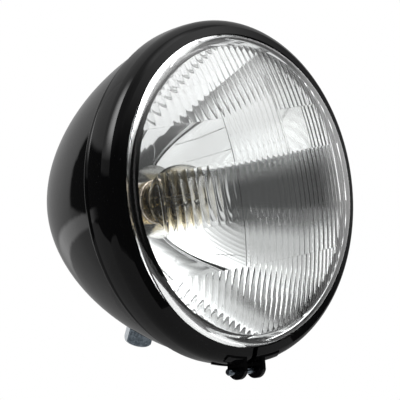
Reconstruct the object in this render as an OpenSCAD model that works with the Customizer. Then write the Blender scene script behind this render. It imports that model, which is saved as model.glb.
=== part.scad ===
// Round motorcycle headlight: steel bucket with a threaded boss underneath, split trim rim
// clamped by one screw, and an insert of fluted glass lens, reflector and twin-filament bulb.
// The light shines towards -Y. The origin is the centre of the mounting boss's lower end.

/* [Opening and lens] */
// Radius of the opening through which the lens shows
opening_r = 85; // [70:0.5:102]
// Gap between the lens wall and the rim's inner lip
lens_gap = 0.4; // [0.2:0.1:1]
// How far the top of the lens dome stands in front of the opening
dome_h = 22.5; // [16:0.5:28]
// Distance from the opening back to where the rounded shoulder starts
shoulder_s = 1.9; // [1:0.1:2.4]
// Radius of the rounded shoulder at the edge of the dome
shoulder_r = 6; // [4:0.5:8]
// Thickness of the glass where it is thinnest
glass_t = 3.4; // [3:0.1:5]
// Width of the solid glass between the lens wall and the fluted area
edge_wall = 7; // [5.5:0.1:9]
// How far the lens flange reaches past the opening
lens_flange_w = 3.5; // [2.5:0.1:4.5]
// Thickness of the lens flange
lens_flange_t = 3.4; // [2.5:0.1:5]
// Depth of a flute, from its cusp to its crown
flute_h = 0.3; // [0.2:0.05:0.5]
// Step in the glass from one level of blocks to the next, more than a flute's depth
block_step = 0.4; // [0.35:0.05:1]
// Turn of the lens, reflector and bulb about the light's axis, in degrees
insert_turn = 7.5; // [-15:0.5:15]

/* [Rim] */
// How far the rim stands out past the opening
rim_w = 8.6; // [7.5:0.1:11]
// Radius of the rim's rounded front
rim_roll_r = 10; // [8:0.5:12]
// Radius of the long curve behind the rim's widest line
rim_back_r = 60; // [40:5:120]
// Distance from the opening to the rim's widest line
rim_wide_s = 9.5; // [8.5:0.5:11]
// Distance from the opening to the rim's rear edge
rim_depth = 21; // [18:0.5:26]
// Slope of the flat band round the opening, in degrees
band_slope = 19; // [10:1:30]
// Thickness of the rim, bucket and reflector sheet
sheet = 1; // [0.8:0.1:1.4]
// Width of the cut through the rim at the bottom
split_gap = 3.6; // [2:0.1:6]

/* [Clamp] */
// Turn of the split and the clamp about the light's axis, in degrees
clamp_turn = 1.6; // [-5:0.1:5]
// Diameter of the clamp screw's thread
screw_d = 4; // [3:0.5:5]
// Length of the clamp screw under its head
screw_len = 23; // [20:0.5:30]
// Distance between the two ears
ear_space = 11.4; // [9:0.2:14]
// Thickness of an ear
ear_t = 2.4; // [1.5:0.1:3]
// Width of an ear along the light's axis
ear_w = 13; // [11:0.2:15]
// Distance from the opening back to the middle of the ears and the screw
ear_s = 8; // [7.6:0.1:10]
// Gap between the rim and the screw's head
head_lift = 0.1; // [0.1:0.1:2]
// Diameter of the screw's head
head_d = 7; // [6:0.2:9]
// How far the tip of an ear reaches past the screw
ear_tip = 4.7; // [3.8:0.1:7]
// Length of the two feet that each ear is welded to the rim by, in degrees round it
foot_turn = 9; // [7:1:20]
// Thickness of a foot
foot_t = 0.8; // [0.6:0.1:2]
// Clearance round the screw in the plain ear
screw_gap = 0.25; // [0.1:0.05:0.5]

/* [Bucket] */
// Overall depth from the opening to the back of the bucket
bucket_depth = 133.6; // [120:0.5:162]
// How far the bucket's flank stays inside the rim's rear edge
flank_inset = 3.6; // [3:0.1:5]
// Radius of the long curve along the bucket's flank
flank_curve = 195; // [170:5:240]
// Radius of the rounded back
nose_r = 50; // [42:1:58]
// Distance from the rim's rear edge to the middle of the bead
bead_s = 4.3; // [3.8:0.1:6]
// Radius of the bead
bead_r = 3.1; // [2.6:0.1:3.6]
// Clearance between the rim's hooked edge and the bucket's lip
hook_gap = 0.3; // [0.2:0.05:0.6]

/* [Mounting boss] */
// Width of the hexagonal boss across its flats
boss_af = 14; // [13:0.5:19]
// Length of the boss, measured from the bucket's skin
boss_len = 15.5; // [12:0.5:22]
// Distance from the opening back to where the boss leaves the skin
boss_s = 84.5; // [65:0.5:92]
// Angle by which the boss leans back from straight down
boss_tilt = 26; // [18:1:32]
// Diameter of the threaded bore
thread_d = 8; // [6:1:10]
// Depth of the threaded bore
thread_depth = 12; // [8:0.5:14]
// Radius that rounds the boss's lower end
boss_round = 4; // [2:0.5:5]

/* [Cable inlet] */
// Diameter of the hole for the grommet
inlet_d = 16; // [12:0.5:20]
// Diameter of the grommet's bore
inlet_bore_d = 8; // [6:0.5:10]
// Angle of the inlet below the light's axis, in degrees
inlet_drop = 24; // [15:1:26]
// How far the grommet's lips reach past the hole
grommet_lip = 3; // [2:0.5:4]
// Thickness of a grommet lip
grommet_lip_t = 2; // [1.5:0.1:3]

/* [Reflector] */
// How far the mouth of the reflector stays inside the lens wall
bowl_inset = 5.3; // [4.5:0.1:8]
// Distance from the opening to the focus, as a share of the opening's radius
focus_share = 0.57; // [0.54:0.005:0.6]
// Thickness of the gasket between lens and reflector
gasket_t = 0.8; // [0.5:0.1:2]
// Number of spring clips that hold the insert in the rim
clip_count = 4; // [3:1:8]

/* [Bulb] */
// Distance from the focus back to the seat of the bulb's flange
flange_focus = 29.5; // [28:0.5:32]
// How far the bulb's locating flange reaches past the holder's neck
flange_over = 1.9; // [1.5:0.1:3]
// How far the cap behind the flange stays inside the flange's edge
cap_inset = 2.8; // [2.6:0.1:4]
// Diameter of the brass collar
collar_d = 24; // [20:0.5:28]
// Length of the brass collar
collar_len = 11.5; // [8:0.5:14]
// Diameter of the bulb's globe
globe_d = 38; // [34:0.5:39]
// Thickness of the bulb's glass
globe_t = 0.8; // [0.5:0.1:1.2]
// Clearance between the globe and the holder's neck
globe_gap = 1.6; // [1:0.1:2.5]

/* [Hidden] */
$fn = 96;

// Far beyond any part of the lamp
far = 400;
// Smallest clearance kept between two touching curved faces
seat_gap = 0.05;

// Rim section. In every section x is the distance from the light's axis and y is the distance
// behind the plane of the opening.
roll_c = opening_r + rim_w - rim_roll_r;
back_c = opening_r + rim_w - rim_back_r;
rim_out_r = opening_r + rim_w;
rim_rear_r = back_c + sqrt(pow(rim_back_r, 2) - pow(rim_depth - rim_wide_s, 2));
lip_end = 2.6;
// Where the flat band meets the rounded front
band_angle = 55;
band_r = roll_c + rim_roll_r * cos(band_angle);
band_s = rim_wide_s - rim_roll_r * sin(band_angle);
hook_in_r = rim_rear_r - 3;

// Bucket section
flank_r = rim_rear_r - flank_inset;
tongue_r = hook_in_r - hook_gap;
lip_r = rim_rear_r - sheet - 0.7;
lip_s = rim_depth - sheet - hook_gap;
bead_mid = rim_depth + bead_s;
bead_c = flank_r - 1.7;
flank_s = bead_mid + 2.7;
nose_s = bucket_depth - nose_r;

// Centre of the flank's circle: it passes the front of the flank and rolls into the nose
gap_s = nose_s - flank_s;
centre_d = sqrt(pow(gap_s, 2) + pow(flank_r, 2));
centre_a = (pow(flank_curve, 2) - pow(flank_curve - nose_r, 2) + pow(centre_d, 2)) / (2 * centre_d);
centre_h = sqrt(pow(flank_curve, 2) - pow(centre_a, 2));
flank_cr = flank_r - (centre_a * flank_r + centre_h * gap_s) / centre_d;
flank_cs = flank_s + (centre_a * gap_s - centre_h * flank_r) / centre_d;
// Distance from the opening to where the flank meets the nose, on a skin moved in by wall
function join_at(wall) = nose_s + (nose_r - wall) * (nose_s - flank_cs) / (flank_curve - nose_r);

// Mounting boss
boss_r = flank_cr + sqrt(pow(flank_curve, 2) - pow(boss_s - flank_cs, 2));
mouth_s = boss_s + boss_len * sin(boss_tilt);
mouth_r = boss_r + boss_len * cos(boss_tilt);

// Lens section
wall_r = opening_r - lens_gap;
flange_r = opening_r + lens_flange_w;
flange_s = 2.8;
flange_back = flange_s + lens_flange_t;
shoulder_c = wall_r - shoulder_r;
// The dome's sphere passes the apex and rolls into the shoulder
apex_d = dome_h + shoulder_s;
dome_r = (pow(apex_d, 2) + pow(shoulder_c, 2) - pow(shoulder_r, 2)) / (2 * (apex_d - shoulder_r));
dome_c = dome_r - dome_h;
wall_join_r = dome_r * shoulder_c / (dome_r - shoulder_r);
wall_join_s = dome_c - dome_r * (dome_c - shoulder_s) / (dome_r - shoulder_r);
bore_r = wall_r - edge_wall;
inner_r = dome_r - glass_t;
// Half the turn of a rib, a little more than the lens needs
core_turn = asin(wall_r / inner_r) + 2;

// Reflector and bulb. The focal length follows from the mouth of the bowl and the focus.
reflector_s = flange_back + gasket_t;
bowl_r = wall_r - bowl_inset;
focus_s = focus_share * opening_r;
focus_d = focus_s - reflector_s;
focal = (sqrt(pow(focus_d, 2) + pow(bowl_r, 2)) - focus_d) / 2;
vertex_s = focus_s + focal;
neck_r = globe_d / 2 + globe_gap;
flange_d = 2 * (neck_r + flange_over);
cap_d = flange_d - 2 * cap_inset;
seat_s = focus_s + flange_focus;
neck_s = vertex_s - pow(neck_r, 2) / (4 * focal);
flange_t = 1.2;
collar_s = seat_s - collar_len;
globe_s = focus_s - 1.5;
// The dipped filament sits a little in front of the focus and above the axis
dip_s = focus_s - 6;
dip_z = 1.6;
coil_len = 5.5;
wire_d = 0.8;
shield_r = 7;
shield_t = 0.4;
shield_l = 5;
shield_z = dip_z - 0.6;
// Front of the pinch that the support wires stand on
pinch_s = collar_s - 7;

// Clamp
ear_in = ear_space / 2;
ear_out = ear_in + ear_t;
screw_z = sqrt(pow(rim_out_r, 2) - pow(ear_out, 2)) + head_lift + head_d / 2;

// Lens blocks as the light leaves it: left, right, lower and upper edge, the flutes' pitch and the
// level. A pitch of 0 is a clear block, and each level adds a step to the glass, so that no block's
// flutes run into the next one's. The edges and the pitch follow the size of the opening.
block_scale = opening_r / 85;
edge = 84;
BLOCKS = [for (b = [
    [-edge, edge, 58.8, edge, 4.2, 0],
    [-edge, -20.5, 39.5, 58.8, 4.5, 2],
    [-20.5, 21.5, 16.2, 58.8, 4.2, 1],
    [21.5, edge, 39.5, 58.8, 4.2, 2],
    [-edge, -20.5, 16.2, 39.5, 0, 0],
    [21.5, 44, 16.2, 39.5, 0, 0],
    [44, edge, 16.2, 39.5, 4.2, 1],
    [-edge, -20.5, -15.4, 16.2, 0, 1],
    [-20.5, edge, -15.4, 16.2, 4.2, 2],
    [-edge, -20.5, -39.3, -15.4, 0, 0],
    [-20.5, edge, -39.3, -15.4, 4.7, 1],
    [-edge, edge, -58.8, -39.3, 4, 2],
    [-edge, edge, -edge, -58.8, 4, 0]
]) [for (i = [0 : 5]) i < 5 ? b[i] * block_scale : b[i]]];

// Puts what is drawn about the light's axis into the lamp's own frame
module lamp() {
    translate([0, -mouth_s, mouth_r]) children();
}

// Turns the insert about the light's axis
module insert() {
    lamp() rotate([0, -insert_turn, 0]) children();
}

// Turns the rim and its clamp about the light's axis
module clamp() {
    lamp() rotate([0, -clamp_turn, 0]) children();
}

// Revolves a section about the light's axis
module turned() {
    rotate([-90, 0, 0]) rotate_extrude() children();
}

// Revolves a section over part of a turn, centred on an angle that is 90 at the bottom
module part_turned(middle, span) {
    rotate([-90, 0, 0]) rotate_extrude(start = middle - span / 2, angle = span) children();
}

// Strip between two distances from the opening
module strip(s0, s1) {
    translate([0, s0]) square([far, s1 - s0]);
}

// A disc in a section
module disc(r, at_r, at_s) {
    translate([at_r, at_s]) circle(r);
}

// Rim
// The region inside the rim's outer skin, with the skin moved out by grow
module rim_shape(grow = 0) {
    intersection() {
        disc(rim_roll_r + grow, roll_c, rim_wide_s);
        strip(-far / 2, rim_wide_s);
    }
    intersection() {
        disc(rim_back_r + grow, back_c, rim_wide_s);
        strip(rim_wide_s, rim_depth);
    }
}

// What the flat band cuts off the rounded front, moved back by shift
module band_cut(shift = 0) {
    translate([band_r, band_s + shift / cos(band_slope)])
        rotate(band_slope)
            translate([-30, -20])
                square([60, 20]);
}

module rim_section() {
    difference() {
        intersection() {
            rim_shape();
            translate([opening_r, -5]) square([30, rim_depth + 5]);
        }
        band_cut();
        difference() {
            intersection() {
                rim_shape(-sheet);
                translate([opening_r + sheet, -5]) square([30, rim_depth + 5 - sheet]);
            }
            band_cut(sheet);
        }
        translate([opening_r - 1, lip_end]) square([sheet + 1.5, rim_depth - sheet - lip_end]);
        translate([opening_r - 1, rim_depth - sheet - 1]) square([hook_in_r - opening_r + 1, sheet + 2]);
    }
}

module rim() {
    color([0.03, 0.03, 0.035]) clamp() difference() {
        turned() rim_section();
        translate([-split_gap / 2, -5, -far]) cube([split_gap, rim_depth + 10, far]);
    }
}

// Section of an ear's two feet. They lie in front of the screw's head and behind it.
module feet_section() {
    inner_s = head_d / 2 + 0.3;
    difference() {
        intersection() {
            difference() {
                rim_shape(foot_t);
                rim_shape();
            }
            translate([roll_c, ear_s - ear_w / 2]) square([50, ear_w]);
        }
        strip(ear_s - inner_s, ear_s + inner_s);
    }
}

// Upright ear with its welded feet. side is -1 for the tapped ear and 1 for the plain one.
module rim_ear(side, hole_d) {
    foot_start = asin(ear_in / rim_out_r);
    part_turned(90 - side * (foot_start + foot_turn / 2), foot_turn) feet_section();
    difference() {
        translate([side > 0 ? ear_in : -ear_out, ear_s, -screw_z]) rotate([90, 0, 90])
            linear_extrude(ear_t) ear_outline(hole_d);
        turned() {
            rim_shape();
            translate([0, 0.5]) square([roll_c + 1, rim_depth - 0.5]);
        }
    }
}

// Ear seen along the screw, with the screw's hole at the origin. Its tip is a flat arc.
module ear_outline(hole_d) {
    tip_h = 4.4;
    tip_r = (pow(ear_w / 2, 2) + pow(tip_h, 2)) / (2 * tip_h);
    difference() {
        union() {
            intersection() {
                translate([0, tip_r - ear_tip]) circle(tip_r);
                translate([-ear_w / 2, -ear_tip]) square([ear_w, tip_h]);
            }
            translate([-ear_w / 2, tip_h - ear_tip]) square([ear_w, screw_z - rim_out_r + rim_roll_r]);
        }
        circle(d = hole_d);
    }
}

module rim_ear_left() {
    color([0.04, 0.04, 0.04]) clamp() rim_ear(-1, screw_d + 2 * seat_gap);
}

module rim_ear_right() {
    color([0.04, 0.04, 0.04]) clamp() rim_ear(1, screw_d + 2 * screw_gap);
}

// Pan head, slot and shank. The head bears on the plain ear and the tip passes the tapped one.
module clamp_screw() {
    head_h = 0.66 * screw_d;
    slot_w = head_d / 7;
    point_h = 0.2 * screw_d;
    color([0.06, 0.06, 0.06]) clamp() translate([ear_out, ear_s, -screw_z]) rotate([0, 90, 0])
        difference() {
            union() {
                intersection() {
                    cylinder(d = head_d, h = head_h);
                    translate([0, 0, head_h - head_d]) sphere(head_d);
                }
                translate([0, 0, point_h - screw_len]) cylinder(d = screw_d, h = screw_len - point_h);
                translate([0, 0, -screw_len]) cylinder(d1 = 0.7 * screw_d, d2 = screw_d, h = point_h);
            }
            translate([-head_d, -slot_w / 2, head_h / 2]) cube([2 * head_d, slot_w, head_h]);
        }
}

// Bucket
// The regions inside the flank and inside the round back, with the skin moved in by wall
module flank_shape(wall = 0) {
    intersection() {
        disc(flank_curve - wall, flank_cr, flank_cs);
        strip(bead_mid, join_at(wall));
    }
}

// The round back starts a little in front of the join, where it lies inside the flank
module nose_shape(wall = 0) {
    intersection() {
        disc(nose_r - wall, 0, nose_s);
        strip(join_at(wall) - 1, far);
    }
}

// Hooked lip, tongue, rolled bead, flank and round back
module bucket_section() {
    difference() {
        union() {
            flank_shape();
            nose_shape();
            disc(bead_r, bead_c, bead_mid);
            translate([0, lip_s - sheet]) square([tongue_r, bead_mid - bead_r - lip_s + 2 * sheet]);
            translate([0, lip_s - sheet]) square([lip_r, sheet]);
        }
        flank_shape(sheet);
        nose_shape(sheet);
        disc(bead_r - sheet, bead_c, bead_mid);
        square([tongue_r - sheet, bead_mid]);
    }
}

module bucket() {
    color([0.03, 0.03, 0.035]) lamp() difference() {
        turned() bucket_section();
        inlet_axis() cylinder(d = inlet_d, h = far);
    }
}

// Hexagonal boss, welded to the skin and tapped from below
module mount_boss() {
    color([0.3, 0.32, 0.34]) lamp() difference() {
        boss_axis() intersection() {
            cylinder(d = boss_af / cos(30), h = boss_len + 12, $fn = 6);
            rotate_extrude() boss_outline();
        }
        turned() flank_shape();
        boss_axis() translate([0, 0, -1]) cylinder(d = thread_d, h = thread_depth + 1);
    }
}

// Round outline that turns the lower end of the hexagon
module boss_outline() {
    corner_r = boss_af / 2 / cos(30);
    translate([0, boss_round]) square([corner_r + 0.5, boss_len + 12 - boss_round]);
    square([corner_r - boss_round + 0.3, boss_round + 0.1]);
    intersection() {
        translate([corner_r - boss_round + 0.3, boss_round]) circle(boss_round);
        square([corner_r + 0.5, boss_round + 0.1]);
    }
}

// Starts at the middle of the boss's lower end and runs up its bore
module boss_axis() {
    translate([0, mouth_s, -mouth_r]) rotate([boss_tilt, 0, 0]) children();
}

// Starts at the centre of the bucket's round back and leaves through the cable inlet
module inlet_axis() {
    translate([0, nose_s, 0]) rotate([-90 - inlet_drop, 0, 0]) children();
}

module cable_grommet() {
    color([0.05, 0.05, 0.05]) lamp() inlet_axis() rotate_extrude() difference() {
        intersection() {
            circle(nose_r + grommet_lip_t);
            square([inlet_d / 2 + grommet_lip, far]);
        }
        circle(nose_r - sheet - grommet_lip_t);
        intersection() {
            difference() {
                circle(nose_r);
                circle(nose_r - sheet);
            }
            translate([inlet_d / 2, 0]) square([far, far]);
        }
        square([inlet_bore_d / 2, far]);
    }
}

// Lens
// The hollow behind one block of the lens. A flute is a rib on the inside of the glass, curved
// about a level axis that crosses the centre of the dome.
module block_core(block) {
    pitch = block[4];
    core_r = inner_r - block[5] * block_step;
    rib = (pow(pitch / 2, 2) + pow(flute_h, 2)) / (2 * flute_h);
    count = pitch > 0 ? ceil((block[1] - block[0]) / pitch) : -1;
    rotate([0, 90, 0]) rotate([0, 0, -90 - core_turn]) rotate_extrude(angle = 2 * core_turn) difference() {
        intersection() {
            circle(pitch > 0 ? core_r + 0.3 : core_r);
            translate([0, block[0] - 1]) square([far, block[1] - block[0] + 2]);
        }
        for (i = [0 : count]) {
            rotate(asin((block[0] + i * pitch) / core_r))
                translate([core_r + rib - flute_h, 0])
                    circle(rib);
        }
    }
}

module lens_blank() {
    turned() {
        intersection() {
            disc(dome_r, 0, dome_c);
            translate([0, -dome_h - 1]) square([wall_join_r, dome_h + flange_s + 1.5]);
        }
        intersection() {
            disc(shoulder_r, shoulder_c, shoulder_s);
            translate([wall_join_r - 1, -dome_h]) square([30, dome_h + shoulder_s]);
        }
        translate([bore_r - 1, wall_join_s]) square([wall_r - shoulder_r * 0.4 - bore_r + 1, 3]);
        translate([0, shoulder_s]) square([wall_r, flange_back - shoulder_s]);
        translate([0, flange_s]) square([flange_r, lens_flange_t]);
    }
}

module lens() {
    color([0.85, 0.92, 0.95, 0.35]) insert() difference() {
        lens_blank();
        for (b = BLOCKS) intersection() {
            translate([0, dome_c, 0]) block_core(b);
            translate([b[0], -dome_h, b[2]]) cube([b[1] - b[0], dome_h + 20, b[3] - b[2]]);
            rotate([90, 0, 0]) cylinder(r = bore_r, h = far, center = true);
        }
    }
}

// Insert
module lens_gasket() {
    color([0.1, 0.1, 0.1]) insert() turned()
        translate([bowl_r + 0.6, flange_back]) square([flange_r - bowl_r - 0.6, gasket_t]);
}

// The parabola's points, from the neck out to the flange
function parabola(shift, r0, r1, steps) = [for (i = [0 : steps])
    let (r = r0 + (r1 - r0) * i / steps) [r + shift, vertex_s - r * r / (4 * focal)]];

module reflector() {
    steps = 24;
    inside = parabola(0, neck_r, bowl_r, steps);
    outside = parabola(sheet, neck_r, bowl_r, steps);
    color([0.85, 0.86, 0.88]) insert() turned() {
        difference() {
            polygon(concat(inside, [for (i = [steps : -1 : 0]) outside[i] + [0, sheet / 2]]));
            translate([0, reflector_s - 5]) square([far, 5]);
        }
        translate([bowl_r, reflector_s]) square([flange_r - bowl_r, sheet * 0.8]);
    }
}

// Spring clips: they bear on the back of the reflector's flange and brace against the rim's wall
module insert_clips() {
    clip_t = 0.7;
    foot_s = reflector_s + sheet * 0.8;
    end_s = foot_s + 8;
    wall_in = back_c + sqrt(pow(rim_back_r - sheet, 2) - pow(end_s - rim_wide_s, 2)) - seat_gap;
    color([0.6, 0.6, 0.6]) insert() for (i = [0 : clip_count - 1]) {
        part_turned(45 + i * 360 / clip_count, 7) {
            translate([bowl_r + sheet + 1.5, foot_s]) square([flange_r - bowl_r - sheet - 0.3, clip_t]);
            polygon([[flange_r + 0.5, foot_s], [wall_in, foot_s + 3.2], [wall_in, end_s],
                [wall_in - clip_t, end_s], [wall_in - clip_t, foot_s + 3.5], [flange_r, foot_s + clip_t]]);
        }
    }
}

// Bulb holder: neck pressed on to the bowl, seat for the bulb's flange and three hooked tabs
module bulb_holder() {
    tab_r = flange_d / 2 + 1.2;
    holder_s = neck_s + sheet / 2 + seat_gap;
    color([0.7, 0.7, 0.72]) insert() {
        turned() {
            translate([neck_r, holder_s]) square([sheet, seat_s - holder_s]);
            translate([neck_r, seat_s - sheet]) square([tab_r + sheet - neck_r, sheet]);
        }
        for (i = [0 : 2]) part_turned(90 + 120 * i, 26) {
            translate([tab_r, seat_s - sheet]) square([sheet, 7.5 + sheet]);
            translate([tab_r - 2.6, seat_s + 6.5]) square([2.6 + sheet, sheet]);
        }
    }
}

// Spring ring: a flat ring with three tongues that reach out under the holder's hooks
module holder_spring() {
    ring_s = seat_s + flange_t + seat_gap;
    ring_r = cap_d / 2 + 0.8;
    edge_r = flange_d / 2;
    color([0.75, 0.75, 0.76]) insert() {
        turned() translate([ring_r, ring_s]) square([edge_r - 0.6 - ring_r, 0.7]);
        for (i = [0 : 2]) part_turned(90 + 120 * i, 18)
            polygon([[edge_r - 2, ring_s], [edge_r + 0.8, seat_s + 5.8], [edge_r, seat_s + 6.5],
                [edge_r - 0.8, seat_s + 6.5], [edge_r - 2.6, ring_s + 0.7]]);
    }
}

// Bulb
module bulb_flange() {
    color([0.75, 0.72, 0.6]) insert() turned()
        translate([collar_d / 2, seat_s]) square([flange_d / 2 - collar_d / 2, flange_t]);
}

// Brass collar, with a rolled bead where it grips the glass
module bulb_collar() {
    color([0.75, 0.6, 0.3]) insert() turned() {
        difference() {
            union() {
                translate([collar_d / 2 - 0.6, collar_s]) square([0.6, seat_s + flange_t - collar_s]);
                disc(0.9, collar_d / 2 - 0.3, collar_s + 2.2);
            }
            translate([0, 0]) square([collar_d / 2 - 0.6, far]);
        }
    }
}

// Region inside the bulb's glass, with the skin moved in by wall
module globe_shape(wall = 0) {
    stem_r = collar_d / 2 - 0.6 - seat_gap;
    intersection() {
        disc(globe_d / 2 - wall, 0, globe_s);
        translate([0, 0]) square([far, far]);
    }
    translate([0, globe_s]) square([stem_r - wall, collar_s + 7 - globe_s]);
}

module bulb_glass() {
    color([0.9, 0.88, 0.8, 0.4]) insert() turned() difference() {
        globe_shape();
        globe_shape(globe_t);
        translate([0, collar_s + 6]) square([far, 5]);
    }
}

// Glass stem: a foot that closes the neck and a flat pinch that holds the support wires
module bulb_stem() {
    stem_r = collar_d / 2 - 0.6 - seat_gap - globe_t;
    color([0.9, 0.9, 0.88, 0.6]) insert() {
        turned() {
            translate([0, collar_s + 4.5]) square([stem_r, 1.5]);
            translate([0, collar_s - 2]) square([3.2, 7]);
        }
        translate([-4.5, pinch_s, -2]) cube([9, 6, 4]);
    }
}

// Cap behind the flange: a shallow cup that holds the insulator
module bulb_cap() {
    color([0.7, 0.62, 0.4]) insert() turned() {
        translate([0, seat_s + flange_t]) square([cap_d / 2, sheet]);
        translate([cap_d / 2 - sheet, seat_s + flange_t]) square([sheet, 9]);
    }
}

module cap_insulator() {
    color([0.15, 0.12, 0.1]) insert() turned()
        translate([0, seat_s + flange_t + sheet]) square([cap_d / 2 - sheet, 9]);
}

// Three contact blades: two upright and one level
module contact_blades() {
    blade_s = seat_s + flange_t + sheet + 9;
    color([0.8, 0.7, 0.4]) insert() {
        for (side = [-1, 1]) translate([side * 8.5 - 0.4, blade_s, -4]) cube([0.8, 8, 8]);
        translate([-4, blade_s, 8.1]) cube([8, 8, 0.8]);
    }
}

// Filaments: level coils across the light's axis, drawn at their outer size
module filament(at_s, at_z, d) {
    color([0.5, 0.5, 0.5]) insert()
        translate([-coil_len / 2, at_s, at_z]) rotate([0, 90, 0]) cylinder(d = d, h = coil_len);
}

module main_filament() {
    filament(focus_s, 0, 1.4);
}

module dip_filament() {
    filament(dip_s, dip_z, 1.2);
}

// Spoon-shaped shield under the dipped filament
module dip_shield() {
    color([0.6, 0.6, 0.58]) insert() translate([0, dip_s, shield_z]) intersection() {
        difference() {
            sphere(shield_r);
            sphere(shield_r - shield_t);
        }
        translate([-5, -6, -8]) cube([10, 6 + shield_l, 5.2]);
    }
}

// Support wires from the pinch: one to each end of the filaments and a bent one to the shield
module filament_supports() {
    wire_x = coil_len / 2 + wire_d / 2 + seat_gap;
    rear_z = shield_z - sqrt(pow(shield_r - shield_t / 2, 2) - pow(shield_l, 2));
    color([0.6, 0.6, 0.6]) insert() {
        for (side = [-1, 1]) {
            wire(side * wire_x, focus_s - wire_d / 2, 0);
            wire(side * wire_x, dip_s - wire_d / 2, dip_z);
        }
        wire(0, dip_s + shield_l + seat_gap, rear_z);
        translate([0, pinch_s - wire_d / 2, rear_z]) cylinder(d = wire_d, h = 1 - rear_z);
    }
}

// A straight wire along the light's axis that ends at the pinch
module wire(at_x, from_s, at_z) {
    translate([at_x, from_s, at_z]) rotate([-90, 0, 0]) cylinder(d = wire_d, h = pinch_s - from_s);
}

bucket();
mount_boss();
cable_grommet();
rim();
rim_ear_left();
rim_ear_right();
clamp_screw();
lens();
lens_gasket();
reflector();
insert_clips();
bulb_holder();
holder_spring();
bulb_flange();
bulb_collar();
bulb_glass();
bulb_stem();
bulb_cap();
cap_insulator();
contact_blades();
main_filament();
dip_filament();
dip_shield();
filament_supports();
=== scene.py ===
# %% [markdown]
# # A motorcycle headlight
#
# The lamp is a gloss black steel bucket with a domed, fluted glass lens in a clamped rim. Its
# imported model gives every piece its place, in metres, with the light shining towards -Y. This
# lesson gives those pieces their finishes, and makes finer ones where the light is bent or
# mirrored: the lens, the reflector, the bulb's glass and its two filaments.

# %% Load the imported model
import bmesh
import bpy
import numpy as np
from math import asin, atan2, cos, pi, prod, radians, sin, sqrt
from mathutils import Matrix, Vector


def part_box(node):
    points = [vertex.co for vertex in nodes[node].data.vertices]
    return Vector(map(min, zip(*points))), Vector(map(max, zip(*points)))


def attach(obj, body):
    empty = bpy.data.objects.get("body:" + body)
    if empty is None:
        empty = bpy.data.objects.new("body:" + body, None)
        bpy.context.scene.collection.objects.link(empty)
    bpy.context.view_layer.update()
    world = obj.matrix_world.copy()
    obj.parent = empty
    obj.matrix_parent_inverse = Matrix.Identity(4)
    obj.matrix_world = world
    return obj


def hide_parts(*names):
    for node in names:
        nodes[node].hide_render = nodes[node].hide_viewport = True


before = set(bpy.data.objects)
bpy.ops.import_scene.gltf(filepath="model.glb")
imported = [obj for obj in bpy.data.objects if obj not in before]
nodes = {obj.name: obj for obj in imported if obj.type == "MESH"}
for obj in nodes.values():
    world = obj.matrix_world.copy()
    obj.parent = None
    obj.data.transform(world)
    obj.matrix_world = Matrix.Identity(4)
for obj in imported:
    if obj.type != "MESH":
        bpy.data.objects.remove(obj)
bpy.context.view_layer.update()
print(len(nodes), "nodes from the model")

# %% [markdown]
# The lens's own box gives the middle of the opening and the light's axis. All turned shapes are
# then written as (distance from the axis, distance behind the opening), in millimetres, and the
# lens, reflector and bulb share one small turn about the axis.

# %% Sizes and the lamp's own frame
MM = 0.001
FLANGE_BACK = 6.2
TURN = radians(7.5)
low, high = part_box("lens")
CENTRE = Vector(((low.x + high.x) / 2, high.y - FLANGE_BACK * MM, (low.z + high.z) / 2))
print("opening centre", [round(v, 4) for v in CENTRE])


def place(points):
    """Points (x, s, z) in millimetres, s behind the opening, turned with the insert about the
    light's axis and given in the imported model's metres."""
    p = np.asarray(points, float).reshape(-1, 3) * MM
    x = CENTRE.x + p[:, 0] * cos(TURN) - p[:, 2] * sin(TURN)
    z = CENTRE.z + p[:, 0] * sin(TURN) + p[:, 2] * cos(TURN)
    return np.column_stack([x, CENTRE.y + p[:, 1], z])

# %% [markdown]
# ## The camera
#
# A long lens stands 1.4 m away, a little below the lamp, 45 degrees to the side and slightly
# rolled. These numbers come from the ellipse that the round opening makes in the picture: its
# width against its height gives the angle, and its slope gives the roll. The camera aims a little
# to the left of the opening's middle and below it. Its sizes are in metres, those of its lens and
# sensor in millimetres.

# %% Camera
DISTANCE, AZIMUTH, ELEVATION, ROLL = 1.4014, radians(45.225), radians(-4.134), radians(3.724)
AIM_LEFT, AIM_DOWN = 0.02275, 0.00531
LENS_MM, SENSOR_MM, CLIP_END = 234.0, 36.0, 100
away = Vector((-sin(AZIMUTH) * cos(ELEVATION), -cos(AZIMUTH) * cos(ELEVATION), sin(ELEVATION)))
flat_away = Vector((away.x, away.y, 0)).normalized()
flat_right = Vector((cos(AZIMUTH), -sin(AZIMUTH), 0))
flat_up = flat_right.cross(-away)
right = cos(ROLL) * flat_right - sin(ROLL) * flat_up
up = sin(ROLL) * flat_right + cos(ROLL) * flat_up
eye = CENTRE + DISTANCE * away
look = CENTRE - AIM_LEFT * right - AIM_DOWN * up
ahead = (look - eye).normalized()
side = (right - right.dot(ahead) * ahead).normalized()
camera_data = bpy.data.cameras.new("camera")
camera_data.lens, camera_data.sensor_width = LENS_MM, SENSOR_MM
camera_data.clip_end = CLIP_END
camera = bpy.data.objects.new("camera", camera_data)
bpy.context.scene.collection.objects.link(camera)
basis = Matrix((side, side.cross(ahead), -ahead)).transposed()
camera.matrix_world = Matrix.Translation(eye) @ basis.to_4x4()
bpy.context.scene.camera = camera
print("camera at", [round(v, 3) for v in eye])

# %% [markdown]
# ## Shader sums
#
# Node trees are long when every node is named by hand. A small class wraps one output of a node,
# so that a sum of outputs reads like an ordinary sum, and one method adds any other node.

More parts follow.
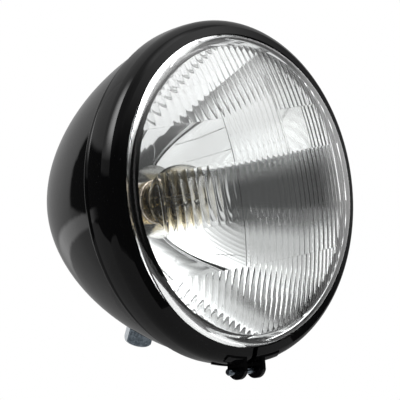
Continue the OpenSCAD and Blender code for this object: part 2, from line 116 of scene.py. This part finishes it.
# %% Socket wrapper
class Sock:
    """An output of a shader node, or just its tree when out is None."""

    def __init__(self, tree, out=None):
        self.tree, self.out = tree, out

    def node(self, kind, out=0, settings=None, at=None, **sockets):
        """Any node. settings are its properties, at gives sockets by number and the rest by name,
        each with a value or another Sock."""
        n = self.tree.nodes.new(kind)
        for name, value in (settings or {}).items():
            setattr(n, name, value)
        for key, value in {**(at or {}), **sockets}.items():
            socket = n.inputs[key.replace("_", " ") if isinstance(key, str) else key]
            if isinstance(value, Sock):
                self.tree.links.new(value.out, socket)
            else:
                socket.default_value = value
        return Sock(self.tree, n.outputs[out])

    def math(self, kind, *others):
        return self.node("ShaderNodeMath", settings={"operation": kind},
                         at=dict(enumerate((self, *others))))

    def rmath(self, kind, other):
        return self.node("ShaderNodeMath", settings={"operation": kind}, at={0: other, 1: self})

    def __add__(self, o): return self.math("ADD", o)
    def __radd__(self, o): return self.rmath("ADD", o)
    def __sub__(self, o): return self.math("SUBTRACT", o)
    def __rsub__(self, o): return self.rmath("SUBTRACT", o)
    def __mul__(self, o): return self.math("MULTIPLY", o)
    def __rmul__(self, o): return self.rmath("MULTIPLY", o)
    def __truediv__(self, o): return self.math("DIVIDE", o)
    def __rtruediv__(self, o): return self.rmath("DIVIDE", o)

    def step(self, low, high, a=0.0, b=1.0, kind="SMOOTHSTEP"):
        """Goes smoothly from a to b while the value goes from low to high."""
        return self.node("ShaderNodeMapRange", settings={"interpolation_type": kind},
                         at=dict(enumerate((self, low, high, a, b))))

    def ramp(self, low, high, a, b):
        """A straight line from a to b while the value goes from low to high, level beyond."""
        return self.step(low, high, a, b, "LINEAR")

    def near(self, middle, inner, outer):
        """1 within inner of the middle value, falling smoothly to 0 at outer."""
        return (self - middle).math("ABSOLUTE").step(outer, inner)

    def dot(self, direction):
        return self.node("ShaderNodeVectorMath", "Value", {"operation": "DOT_PRODUCT"},
                         at={0: self, 1: tuple(direction)})

    def stretch(self, x, y, z):
        """The vector with its axes scaled, to draw a pattern out along one of them."""
        return self.node("ShaderNodeVectorMath", 0, {"operation": "MULTIPLY"},
                         at={0: self, 1: (x, y, z)})

    def part(self, axis):
        return self.node("ShaderNodeSeparateXYZ", axis, at={0: self})

    def blend(self, a, b):
        """Colour a where this value is 0 and colour b where it is 1."""
        return self.node("ShaderNodeMix", 2, {"data_type": "RGBA"},
                         at={0: self, 6: (*a, 1.0) if isinstance(a, tuple) else a,
                             7: (*b, 1.0) if isinstance(b, tuple) else b})

# %% [markdown]
# ## The room
#
# Gloss black paint has almost no colour of its own: what is seen on it is the room. The room here
# is the one that the paint and the reflector show, kept to a few soft areas. A direction is told
# by its azimuth, which is how far round from the camera it is, negative to the left, and by its
# height. Both are in degrees.

# %% Directions of the room
DEGREES = 180 / pi
world = bpy.data.worlds.new("studio")
world.use_nodes = True
bpy.context.scene.world = world
world.node_tree.nodes.clear()
sky = Sock(world.node_tree)
ray = sky.node("ShaderNodeTexCoord", "Generated")
azimuth = ray.dot(flat_right).math("ARCTAN2", ray.dot(flat_away)) * DEGREES
height = ray.part("Z").math("ARCSINE") * DEGREES


def area(rounds, heights):
    """1 inside an area. Each pair of azimuths or of heights is (where it is 0, where it is 1)."""
    fades = [azimuth.step(*pair) for pair in rounds] + [height.step(*pair) for pair in heights]
    return prod(fades)


def patch(round_at, height_at):
    """1 about one direction, each way given as (middle, inner, outer)."""
    return azimuth.near(*round_at) * height.near(*height_at)


def along(changes):
    """A line over the azimuth, as a sum of ramps (from, to, before, after)."""
    return sum(azimuth.ramp(*change) for change in changes)


print(len(world.node_tree.nodes), "nodes for a direction")

# %% [markdown]
# A dark band lies round the camera's side. Its upper and lower edges are crisp at the left, where
# they draw the long lines along the bucket's flank, and soft elsewhere. Each edge fades over about
# its softness to either side. The band has one paler gap.

# %% The dark band
LOWER_EDGE = ((-134, -104, 1.7, -8.8), (-104, -98, 0, -12.2), (-36, -30, 0, -9))
UPPER_EDGE = ((-94, -90, 21, 13), (-33, -30, 0, 17), (20, 34, 0, -12))
SOFTNESS = ((-36, -30, 1, 6),)
BAND_ENDS = ((-135, -133), (135, 120))
GAP, GAP_FADE, GAP_SHARE = (22, 5, 12), (-24, 0), 0.85
lower, upper, soft = along(LOWER_EDGE), along(UPPER_EDGE), along(SOFTNESS)
dark = ((height - lower) / soft).step(-1, 1) * ((upper - height) / soft).step(-1.5, 1.5)
dark = dark * area(BAND_ENDS, ())
dark = dark * (1 - GAP_SHARE * azimuth.near(*GAP) * height.step(*GAP_FADE))
print(len(world.node_tree.nodes), "nodes with the dark band")

# %% [markdown]
# The walls are grey. They are paler behind the lamp, high at the left and at the top, and darker
# high over the camera. A soft box with a crisp right edge stands high at the left, a wide one
# stands high at the right, and a thin glint lies low behind the lamp's left side.

# %% The walls and the soft boxes
WALL, BAND, LEFT_MORE, OVER_LESS, TOP_MORE = 0.22, 0.02, 0.22, 0.07, 0.1
BACK, BACK_FADE, BACK_LOW, BACK_HIGH = (131, 137), (-12, 20), 0.02, 0.20
TOP = (45, 75)
HIGH_LEFT = ((-135, -133), (-29, -33)), ((19, 24),)
OVERHEAD = ((-33, -29), (22, 4)), ((18, 26), (75, 60))
LEFT_BOX, LEFT_BOX_EDGE = ((-38, 4, 52), (47, 6, 26)), (-30.5, -32.5)
RIGHT_BOX, RIGHT_LEVEL = ((72, 17, 50), (50, 12, 32)), 0.65
GLINT, GLINT_LEVEL = ((-133, 18, 34), (-4, 1.5, 3)), 0.4
behind = azimuth.math("ABSOLUTE").step(*BACK) * height.step(*BACK_FADE, BACK_LOW, BACK_HIGH)
walls = WALL + behind + LEFT_MORE * area(*HIGH_LEFT) - OVER_LESS * area(*OVERHEAD)
walls = walls + TOP_MORE * height.step(*TOP)
walls = walls * (1 - dark) + BAND * dark
left_box = azimuth.step(*LEFT_BOX_EDGE) * patch(*LEFT_BOX)
boxes = RIGHT_LEVEL * patch(*RIGHT_BOX) + GLINT_LEVEL * patch(*GLINT)
print(len(world.node_tree.nodes), "nodes with the walls and boxes")

# %% [markdown]
# Bare surfaces are lit at a plain level, while mirrors, gloss and glass see the same room at the
# strength that its white wall has for the camera, where 1 is white. A ray bent by glass counts as
# glossy too, so a reflection is a glossy ray that isn't one through glass. The left box is strong
# in the paint and weak through the lens.

# %% World
PLAIN, MIRRORED = 0.45, 4.2
BOX_PLAIN, BOX_THROUGH, BOX_MIRRORED = 2.6, 0.8, 5.4


def ray_kinds(tree):
    """Whether a ray comes from the camera, from gloss and through glass, each 1 or 0."""
    return [tree.node("ShaderNodeLightPath", f"Is {kind} Ray")
            for kind in ("Camera", "Glossy", "Transmission")]


seen, gloss, through = ray_kinds(sky)
mirror = gloss.math("MAXIMUM", through)
reflected = gloss * (1 - through)
lit = PLAIN * (1 - mirror) + (walls + boxes) * (1 + mirror * (MIRRORED - 1))
lit = lit + left_box * (BOX_PLAIN * (1 - mirror) + BOX_THROUGH * through
                        + BOX_MIRRORED * MIRRORED * reflected)
strength = seen + (1 - seen) * lit
out = world.node_tree.nodes.new("ShaderNodeOutputWorld")
shade = sky.node("ShaderNodeBackground", Color=(1, 1, 1, 1), Strength=strength)
world.node_tree.links.new(shade.out, out.inputs[0])
print(len(world.node_tree.nodes), "nodes in the room")

# %% [markdown]
# ## Material helpers
#
# Every material starts the same way and varies by noise in Object coordinates, so four short
# functions are shared by all. A noise's scale is the number of clouds in a metre. The plain colour
# and roughness of a material are only for a viewer that doesn't read its nodes.

# %% Helpers
def finish(name, colour, rough, metal=0.0):
    """A new material: its data, its tree as a Sock, its Principled shader, Object coordinates."""
    m = bpy.data.materials.new(name)
    m.use_nodes = True
    shader = m.node_tree.nodes["Principled BSDF"]
    shader.inputs["Base Color"].default_value = (*colour, 1.0)
    shader.inputs["Roughness"].default_value = rough
    shader.inputs["Metallic"].default_value = metal
    tree = Sock(m.node_tree)
    return m, tree, shader, tree.node("ShaderNodeTexCoord", "Object")


def feed(shader, **sockets):
    """Links Socks to the shader's sockets of the same names."""
    for name, value in sockets.items():
        value.tree.links.new(value.out, shader.inputs[name.replace("_", " ")])


def noise(where, scale, detail=2.0):
    """Cloudy noise of 0 to 1, finer with more detail."""
    return where.node("ShaderNodeTexNoise", "Fac", Vector=where, Scale=scale, Detail=detail,
                      Roughness=0.5)


def bump(height, depth):
    """A normal from a height of 0 to 1, which is depth metres in all."""
    return height.node("ShaderNodeBump", Height=height, Strength=1.0, Distance=depth)

# %% [markdown]
# ## The floor
#
# The lamp hangs by its mount, so the floor lies well below it. It is pale card with a faint grain.
# A faint glow of its own keeps it white for the camera towards its edge, and for the paint and the
# lens it stands in for the light that a larger floor would send back.

# %% Floor
FLOOR_R, FLOOR_AT, FLOOR_SIDES = 0.4, (0, -0.05, -0.13), 96
GLOW_MIRRORED, GLOW_THROUGH = 0.04, 0.10
EDGE_FROM, EDGE_TO, GLOW_MIDDLE, GLOW_EDGE = 0.15, 0.38, 0.12, 0.7
bpy.ops.mesh.primitive_circle_add(vertices=FLOOR_SIDES, radius=FLOOR_R, fill_type="NGON",
                                  location=FLOOR_AT)
floor = bpy.context.object
floor.name = "floor"
card, tree, shader, where = finish("pale_card", (0.84, 0.84, 0.84), 0.9)
feed(shader, Base_Color=noise(where, 40).blend((0.82, 0.82, 0.82), (0.86, 0.86, 0.86)))
seen, gloss, through = ray_kinds(tree)
reach = where.node("ShaderNodeVectorMath", "Value", {"operation": "LENGTH"}, at={0: where})
glow = GLOW_MIRRORED * gloss + GLOW_THROUGH * through
glow = glow + seen * reach.step(EDGE_FROM, EDGE_TO, GLOW_MIDDLE, GLOW_EDGE)
feed(shader, Emission_Color=glow.blend((0.0, 0.0, 0.0), (1.0, 1.0, 1.0)))
shader.inputs["Emission Strength"].default_value = 1.0
floor.data.materials.append(card)
print("floor", round(-FLOOR_AT[2], 3), "m below the boss's lower end")

# %% [markdown]
# ## Making a mesh
#
# Every new piece is a grid of points from a formula. Points that fall together, at a pole or where
# a grid is pinched, are merged, the faces are turned outwards, and hard edges are marked.

# %% Mesh from a grid
MERGE, SHARP = 2e-6, radians(35)


def grid_faces(rows, columns, wrap_rows=False, wrap_columns=False):
    """Four corners of each cell of a grid whose points are numbered row by row."""
    r = np.arange(rows if wrap_rows else rows - 1)[:, None]
    c = np.arange(columns if wrap_columns else columns - 1)[None, :]
    r2, c2 = (r + 1) % rows, (c + 1) % columns
    corners = np.stack([r * columns + c, r * columns + c2, r2 * columns + c2, r2 * columns + c])
    return corners.reshape(4, -1).T


def make_piece(name, points, faces):
    """A closed mesh object from points in metres and faces of four corners."""
    mesh = bpy.data.meshes.new(name)
    mesh.from_pydata(points.tolist(), [], faces.tolist())
    work = bmesh.new()
    work.from_mesh(mesh)
    bmesh.ops.remove_doubles(work, verts=work.verts, dist=MERGE)
    bmesh.ops.recalc_face_normals(work, faces=work.faces)
    loose = sum(not e.is_manifold for e in work.edges)
    work.to_mesh(mesh)
    work.free()
    mesh.shade_smooth()
    mesh.set_sharp_from_angle(angle=SHARP)
    piece = bpy.data.objects.new(name, mesh)
    bpy.context.scene.collection.objects.link(piece)
    mesh.calc_loop_triangles()
    print(name, len(mesh.loop_triangles), "triangles,", loose, "open edges")
    return piece


def turned(profile, steps, closed=True):
    """A profile of (r, s) carried round the light's axis: x = r cos u, z = r sin u. A closed one
    joins its ends, and one that isn't starts and ends on the axis."""
    u = np.linspace(0, 2 * pi, steps, endpoint=False)[:, None]
    r, s = np.asarray(profile, float).T
    points = np.stack([r * np.cos(u), s + 0 * u, r * np.sin(u)], -1)
    return place(points), grid_faces(steps, len(r), wrap_rows=True, wrap_columns=closed)

# %% [markdown]
# ## The lens
#
# The real lens is pressed glass. Its outside is a smooth dome, and its inside is divided into
# blocks, each at its own depth. Most have upright flutes, which spread the beam sideways. A flute
# is an arc whose crown stands towards the bulb. Sculpting it would be uneven and a texture would
# not bend light, so the inside is worked out as one height over a grid. The shoulder is an arc
# that ends where it meets the dome.

# %% Blocks and flutes
# x0, x1, z0, z1, width of a flute or 0 where the block is plain, level
BLOCKS = (
    (-84, 84, 58.8, 84, 4.2, 0),
    (-84, -20.5, 39.5, 58.8, 4.5, 2),
    (-20.5, 21.5, 16.2, 58.8, 4.2, 1),
    (21.5, 84, 39.5, 58.8, 4.2, 2),
    (-84, -20.5, 16.2, 39.5, 0, 0),
    (21.5, 44, 16.2, 39.5, 0, 0),
    (44, 84, 16.2, 39.5, 4.2, 1),
    (-84, -67, -15.4, 16.2, 0, 1),
    (-67, -20.5, -15.4, 16.2, 4.6, 1),
    (-20.5, 84, -15.4, 16.2, 4.2, 2),
    (-84, -20.5, -39.3, -15.4, 0, 0),
    (-20.5, 84, -39.3, -15.4, 4.7, 1),
    (-84, 84, -58.8, -39.3, 4, 2),
    (-84, 84, -84, -58.8, 4, 0),
)
ROW_BORDERS = (58.8, 39.5, 16.2, -15.4, -39.3, -58.8)
COLUMN_BORDERS = (-20.5, 21.5, 44)
DOME_R, DOME_C, GLASS_T = 183.08, 160.58, 3.4
LEVEL, FLUTE, GROOVE = 0.4, 0.2, 0.3
BORE_R, WALL_R, FLANGE_R, FLANGE_S = 77.6, 84.6, 88.5, 2.8
SHOULDER_R, SHOULDER_C, SHOULDER_S = 6.0, 78.6, 1.9
DOME_EDGE_R, SHOULDER_SWEEP = 81.26, atan2(5.38, 2.66)
ROUNDS = 3
print(len(BLOCKS), "blocks,", sum(b[4] > 0 for b in BLOCKS), "of them with flutes")


def inside_s(x, z):
    """Distance behind the opening of the lens's inside. The core is a sphere about the dome's
    centre, smaller by the block's level. In a block with flutes, the distance d from that centre
    is the one to the nearest flute's arc, of radius rib, whose crown stands a flute's depth
    nearer than the core. A point's angle a depends on d, so the two are found in turns."""
    level, wide, start = np.zeros_like(x), np.zeros_like(x), np.zeros_like(x)
    for x0, x1, z0, z1, pitch, depth in BLOCKS:
        here = (x >= x0) & (x < x1) & (z >= z0) & (z < z1)
        level[here], wide[here], start[here] = depth, pitch, x0
    core = DOME_R - GLASS_T - level * LEVEL
    p = np.where(wide > 0, wide, 1.0)
    rib = ((p / 2) ** 2 + FLUTE ** 2) / (2 * FLUTE)
    far = core + rib - FLUTE
    a = np.arcsin(x / core)
    for _ in range(ROUNDS):
        i = np.round((core * np.sin(a) - start) / p)
        ai = np.arcsin(np.clip((start + i * p) / core, -1, 1))
        arc = far * np.cos(a - ai) - np.sqrt(rib ** 2 - (far * np.sin(a - ai)) ** 2)
        d = np.where(wide > 0, np.minimum(arc, core + GROOVE), core)
        a = np.arcsin(x / d)
    return DOME_C - np.sqrt((d * np.cos(a)) ** 2 - z ** 2)

# %% [markdown]
# The columns are close together, about twelve to a flute, and rows and columns are added on both
# sides of the blocks' borders so that their steps stay crisp. Columns past the round wall are
# drawn in to it, and the wall, flange, shoulder and dome follow as rings from the same row ends.

# %% Lens mesh
BESIDE, CLEAR = 0.03, 0.12
ROW_STEPS, COLUMN_STEPS, SHOULDER_STEPS, DOME_STEPS = 97, 445, 12, 70


def with_borders(values, borders):
    """The values with each border added twice, a little to either side, and none too near it."""
    b = np.asarray(borders, float)
    keep = np.abs(values[:, None] - b[None, :]).min(1) > CLEAR
    return np.sort(np.concatenate([values[keep], b - BESIDE, b + BESIDE]))


rows = with_borders(BORE_R * np.sin(np.linspace(-pi / 2, pi / 2, ROW_STEPS)), ROW_BORDERS)
columns = with_borders(np.linspace(-BORE_R, BORE_R, COLUMN_STEPS), COLUMN_BORDERS)
half = np.sqrt(np.maximum(BORE_R ** 2 - rows ** 2, 0))[:, None]
x = np.clip(columns[None, :], -half, half)
z = np.repeat(rows[:, None], len(columns), 1)
sheet = np.stack([x, inside_s(x, z), z], -1)
ring = np.concatenate([sheet[:, -1], sheet[-2:0:-1, 0]])
angle = np.arctan2(ring[:, 2], ring[:, 0])
t = np.linspace(0, SHOULDER_SWEEP, SHOULDER_STEPS)
shoulder = np.stack([SHOULDER_C + SHOULDER_R * np.cos(t), SHOULDER_S - SHOULDER_R * np.sin(t)], -1)
t = np.linspace(asin(DOME_EDGE_R / DOME_R), 0, DOME_STEPS)[1:]
dome = np.stack([DOME_R * np.sin(t), DOME_C - DOME_R * np.cos(t)], -1)
outline = np.concatenate([[(BORE_R, FLANGE_BACK), (FLANGE_R, FLANGE_BACK), (FLANGE_R, FLANGE_S),
                           (WALL_R, FLANGE_S)], shoulder, dome])
r, s = outline.T
rings = np.stack([r[:, None] * np.cos(angle), s[:, None] + 0 * angle,
                  r[:, None] * np.sin(angle)], -1)
rings = np.concatenate([ring[None], rings])
faces = np.concatenate([grid_faces(*x.shape),
                        grid_faces(*rings.shape[:2], wrap_columns=True) + x.size])
lens_glass = make_piece("lens_glass", place(np.concatenate([sheet.reshape(-1, 3),
                                                            rings.reshape(-1, 3)])), faces)
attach(lens_glass, "root")
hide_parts("lens")

# %% [markdown]
# ## The reflector
#
# A pressed steel bowl, silvered inside. A mirror shows every flat of a coarse mesh, so the bowl is
# turned again from its own parabola, s = vertex - r * r / (4 * focal), in many small steps.

# %% Reflector bowl
VERTEX, FOCAL, NECK_R, BOWL_R, REFLECTOR_S, STEEL_T = 72.465, 24.015, 20.6, 79.3, 7.0, 1.0
FLANGE_T, LIP, BOWL_STEPS, BOWL_ROUND = 0.8, 0.4, 90, 256
r = np.linspace(NECK_R, BOWL_R, BOWL_STEPS)
lean = np.arctan(2 * FOCAL / r)
inner = np.stack([r, VERTEX - r ** 2 / (4 * FOCAL)], -1)
outer = inner + STEEL_T / 2 * np.stack([np.sin(pi / 2 - lean), np.sin(lean)], -1)
flange = [(BOWL_R, REFLECTOR_S), (FLANGE_R, REFLECTOR_S), (FLANGE_R, REFLECTOR_S + FLANGE_T),
          (BOWL_R + LIP, REFLECTOR_S + FLANGE_T)]
profile = np.concatenate([inner[:-1], flange, outer[-2::-1]])
bowl = make_piece("reflector_bowl", *turned(profile, BOWL_ROUND))
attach(bowl, "root")
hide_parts("reflector")

# %% [markdown]
# ## The bulb's glass and filaments
#
# The globe is blown from a tube, so it meets its neck in a soft fillet. Its profile runs along the
# outside and back along the inside, from the axis and back to it.

# %% Globe
GLOBE_R, GLOBE_S, TUBE_R, GLOBE_T, FILLET = 19.0, 46.95, 11.35, 0.8, 4.0
TUBE_S, TUBE_END_S = 68.0, 72.45
BALL_STEPS, BEND_STEPS, GLOBE_ROUND = 60, 10, 96


def globe_line(wall):
    """The globe's profile, from its tip round to the end of its tube, drawn in by wall."""
    big, small, neck = GLOBE_R - wall, FILLET + wall, TUBE_R - wall
    across = TUBE_R + FILLET
    back = sqrt((GLOBE_R + FILLET) ** 2 - across ** 2)
    meet = pi - atan2(across, back)
    t = np.linspace(0, meet, BALL_STEPS)
    ball = np.stack([big * np.sin(t), GLOBE_S - big * np.cos(t)], -1)
    t = np.linspace(meet, pi / 2, BEND_STEPS)[1:]
    bend = np.stack([across - small * np.sin(t), GLOBE_S + back + small * np.cos(t)], -1)
    return np.concatenate([ball, bend, [(neck, TUBE_S), (neck, TUBE_END_S)]])


profile = np.concatenate([globe_line(0.0), globe_line(GLOBE_T)[::-1]])
globe = make_piece("bulb_globe", *turned(profile, GLOBE_ROUND, closed=False))
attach(globe, "root")
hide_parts("bulb_glass")

# %% [markdown]
# The two filaments are coils of fine wire, one at the reflector's focus and one in front of it and
# above. Each is a round tube carried along a helix, with a cap at both ends.

# %% Filament coils
COIL_LENGTH, COIL_LOOPS, COIL_WIRE = 5.5, 11, 0.2
LOOP_STEPS, WIRE_SIDES = 16, 6


def coil(name, at_s, at_z, across):
    """A helix along x, (length * t, a cos 2 pi loops t, a sin 2 pi loops t), with a round wire."""
    t = np.linspace(0, 1, COIL_LOOPS * LOOP_STEPS + 1)[:, None]
    turn = 2 * pi * COIL_LOOPS * t
    thick = COIL_WIRE / 2
    a = across / 2 - thick
    v = np.linspace(0, 2 * pi, WIRE_SIDES, endpoint=False)[None, :]
    reach = a + thick * np.cos(v)
    x = (COIL_LENGTH - COIL_WIRE) * (t - 0.5) + thick * np.sin(v)
    body = np.stack([x, at_s + reach * np.cos(turn), at_z + reach * np.sin(turn)], -1)
    caps = np.repeat(body[[0, -1]].mean(1, keepdims=True), WIRE_SIDES, 1)
    body = np.concatenate([caps[:1], body, caps[1:]])
    return make_piece(name, place(body), grid_faces(*body.shape[:2], wrap_columns=True))


main_coil = coil("main_coil", at_s=48.45, at_z=0.0, across=1.4)
dip_coil = coil("dip_coil", at_s=42.45, at_z=1.6, across=1.2)
for piece, old in ((main_coil, "main_filament"), (dip_coil, "dip_filament")):
    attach(piece, "root")
    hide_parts(old)

# %% [markdown]
# ## Black paint
#
# The bucket, the rim and the clamp are stove-enamelled: deep black, glassy, with the faint waves
# that spray leaves and a little dust. The gloss is a clear coat over a black with no gloss of its
# own. The coat's low weight keeps the black deep over a white floor.

# %% Paint
paint, tree, shader, where = finish("black_enamel", (0.002, 0.002, 0.0022), 0.5)
shader.inputs["Specular IOR Level"].default_value = 0.0
shader.inputs["Coat IOR"].default_value = 1.5
shader.inputs["Coat Roughness"].default_value = 0.03
smears = noise(where, 18, 3)
dust = noise(where, 1400, 1).step(0.70, 0.80)
feed(shader, Coat_Weight=smears.step(0.3, 0.7, 0.255, 0.235) * (1 - 0.5 * dust),
     Base_Color=dust.blend((0.002, 0.002, 0.0022), (0.02, 0.02, 0.02)),
     Normal=bump(noise(where, 110, 1), 0.00002))
print(paint.name, len(paint.node_tree.nodes), "nodes")

# %% [markdown]
# ## Glass
#
# Pressed glass is clear with a trace of green, and its surface keeps the faint unevenness of the
# mould. The bulb's glass is thin, clean in front, and browned towards its collar by heat.

# %% Lens and bulb glass
CLEAN_S, BROWN_S = 46, 64
glass, tree, shader, where = finish("pressed_glass", (0.97, 0.985, 0.98), 0.01)
shader.inputs["Transmission Weight"].default_value = 1.0
shader.inputs["Specular IOR Level"].default_value = 0.2
shader.inputs["IOR"].default_value = 1.5
feed(shader, Roughness=noise(where, 30).step(0.3, 0.7, 0.004, 0.02),
     Base_Color=noise(where, 12).blend((0.96, 0.98, 0.975), (0.985, 0.99, 0.985)),
     Normal=bump(noise(where, 160, 1), 0.000006))

thin_glass, tree, shader, where = finish("blown_glass", (0.95, 0.93, 0.88), 0.01)
shader.inputs["Transmission Weight"].default_value = 1.0
shader.inputs["IOR"].default_value = 1.5
heat = where.part("Y").step(CENTRE.y + CLEAN_S * MM, CENTRE.y + BROWN_S * MM)
heat = heat * noise(where, 60).step(0.2, 0.6, 0.7, 1.0)
feed(shader, Base_Color=heat.blend((0.97, 0.96, 0.93), (0.84, 0.72, 0.46)),
     Roughness=noise(where, 90).step(0.3, 0.7, 0.005, 0.03))
print([m.name for m in (glass, thin_glass)])

# %% [markdown]
# ## Bright metals
#
# Silvering is a mirror with a slight haze. The bulb's holder, clips and cap are bright plated
# steel, with fine lines round the light's axis, as turned and drawn parts have. The collar is pale
# plated brass that has tarnished in patches.

# %% Silvering, steel and brass
silver, tree, shader, where = finish("silvering", (0.93, 0.93, 0.93), 0.05, 1.0)
haze = noise(where, 35, 4)
feed(shader, Roughness=haze.step(0.3, 0.75, 0.02, 0.06),
     Base_Color=haze.step(0.4, 0.8).blend((0.94, 0.94, 0.945), (0.90, 0.90, 0.895)),
     Normal=bump(noise(where, 70, 1), 0.00002))

steel, tree, shader, where = finish("plated_steel", (0.72, 0.72, 0.71), 0.2, 1.0)
lines = noise(where.stretch(1, 12, 1), 700, 2)
feed(shader, Roughness=lines.step(0.3, 0.7, 0.14, 0.26), Normal=bump(lines, 0.000006),
     Base_Color=noise(where, 150, 3).blend((0.68, 0.68, 0.67), (0.80, 0.80, 0.79)))

brass, tree, shader, where = finish("tarnished_brass", (0.8, 0.7, 0.58), 0.22, 1.0)
tarnish = noise(where, 220, 4).step(0.42, 0.68)
feed(shader, Base_Color=tarnish.blend((0.93, 0.85, 0.76), (0.68, 0.58, 0.48)),
     Roughness=tarnish * 0.18 + 0.16, Normal=bump(noise(where.stretch(1, 9, 1), 500, 2), 0.00001))
print([m.name for m in (silver, steel, brass)])

# %% [markdown]
# ## The zinc-plated boss and screw
#
# The boss is bar stock, zinc plated and passivated: bluish grey, with a faint crystal mottle and a
# fine grain. The clamp screw has the same plating.

# %% Zinc
zinc, tree, shader, where = finish("zinc_plate", (0.10, 0.125, 0.145), 0.17, 1.0)
crystals = tree.node("ShaderNodeTexVoronoi", "Color", Vector=where, Scale=900.0)
mottle = noise(where, 260, 4)
shade = (crystals.part("X") * 0.5 + mottle * 0.5).step(0.3, 0.7)
feed(shader, Base_Color=shade.blend((0.07, 0.085, 0.10), (0.14, 0.165, 0.19)),
     Roughness=mottle.step(0.3, 0.7, 0.12, 0.22), Normal=bump(noise(where, 1500, 3), 0.000006))
print(zinc.name, len(zinc.node_tree.nodes), "nodes")

# %% [markdown]
# ## Rubber, moulding and filament wire
#
# Moulded rubber is dull and dark, with a pale bloom and a fine grain. The cap's insulator is brown
# phenolic with a flour-like fleck. The wires are grey, drawn metal.

# %% Rubber, insulator and wire
rubber, tree, shader, where = finish("moulded_rubber", (0.02, 0.02, 0.02), 0.6)
bloom = noise(where, 120, 4).step(0.45, 0.75)
feed(shader, Base_Color=bloom.blend((0.014, 0.014, 0.014), (0.05, 0.05, 0.048)),
     Roughness=bloom.step(0, 1, 0.5, 0.75), Normal=bump(noise(where, 2200, 2), 0.00003))

insulator, tree, shader, where = finish("brown_phenolic", (0.12, 0.07, 0.04), 0.45)
fleck = noise(where, 1600, 2).step(0.52, 0.68)
feed(shader, Base_Color=fleck.blend((0.10, 0.055, 0.03), (0.22, 0.14, 0.08)),
     Roughness=fleck.step(0, 1, 0.35, 0.55))

wire, tree, shader, where = finish("drawn_wire", (0.4, 0.4, 0.42), 0.3, 1.0)
drawn = noise(where, 3000, 2)
feed(shader, Base_Color=drawn.blend((0.30, 0.30, 0.31), (0.52, 0.51, 0.50)),
     Roughness=drawn.step(0.3, 0.7, 0.25, 0.45))
print([m.name for m in (rubber, insulator, wire)])

# %% [markdown]
# ## Giving each piece its finish
#
# Each node of the model gets one material, also the five that finer pieces stand in for, and each
# new piece gets the one of the node it replaces.

# %% Finishes on pieces
FINISH = {
    paint: ["bucket", "rim", "rim_ear_left", "rim_ear_right"],
    zinc: ["mount_boss", "clamp_screw"],
    rubber: ["cable_grommet", "lens_gasket"],
    glass: ["lens"],
    silver: ["reflector"],
    steel: ["insert_clips", "bulb_holder", "holder_spring", "bulb_flange", "bulb_cap",
            "dip_shield"],
    brass: ["bulb_collar", "contact_blades"],
    thin_glass: ["bulb_glass", "bulb_stem"],
    insulator: ["cap_insulator"],
    wire: ["main_filament", "dip_filament", "filament_supports"],
}
for material, names in FINISH.items():
    for name in names:
        mesh = nodes[name].data
        mesh.materials.clear()
        mesh.materials.append(material)
NEW = {lens_glass: glass, bowl: silver, globe: thin_glass, main_coil: wire, dip_coil: wire}
for piece, material in NEW.items():
    piece.data.materials.append(material)
print({m.name: len(n) for m, n in FINISH.items()})

# %% Finish
scene = bpy.context.scene
scene.view_settings.view_transform = "Standard"
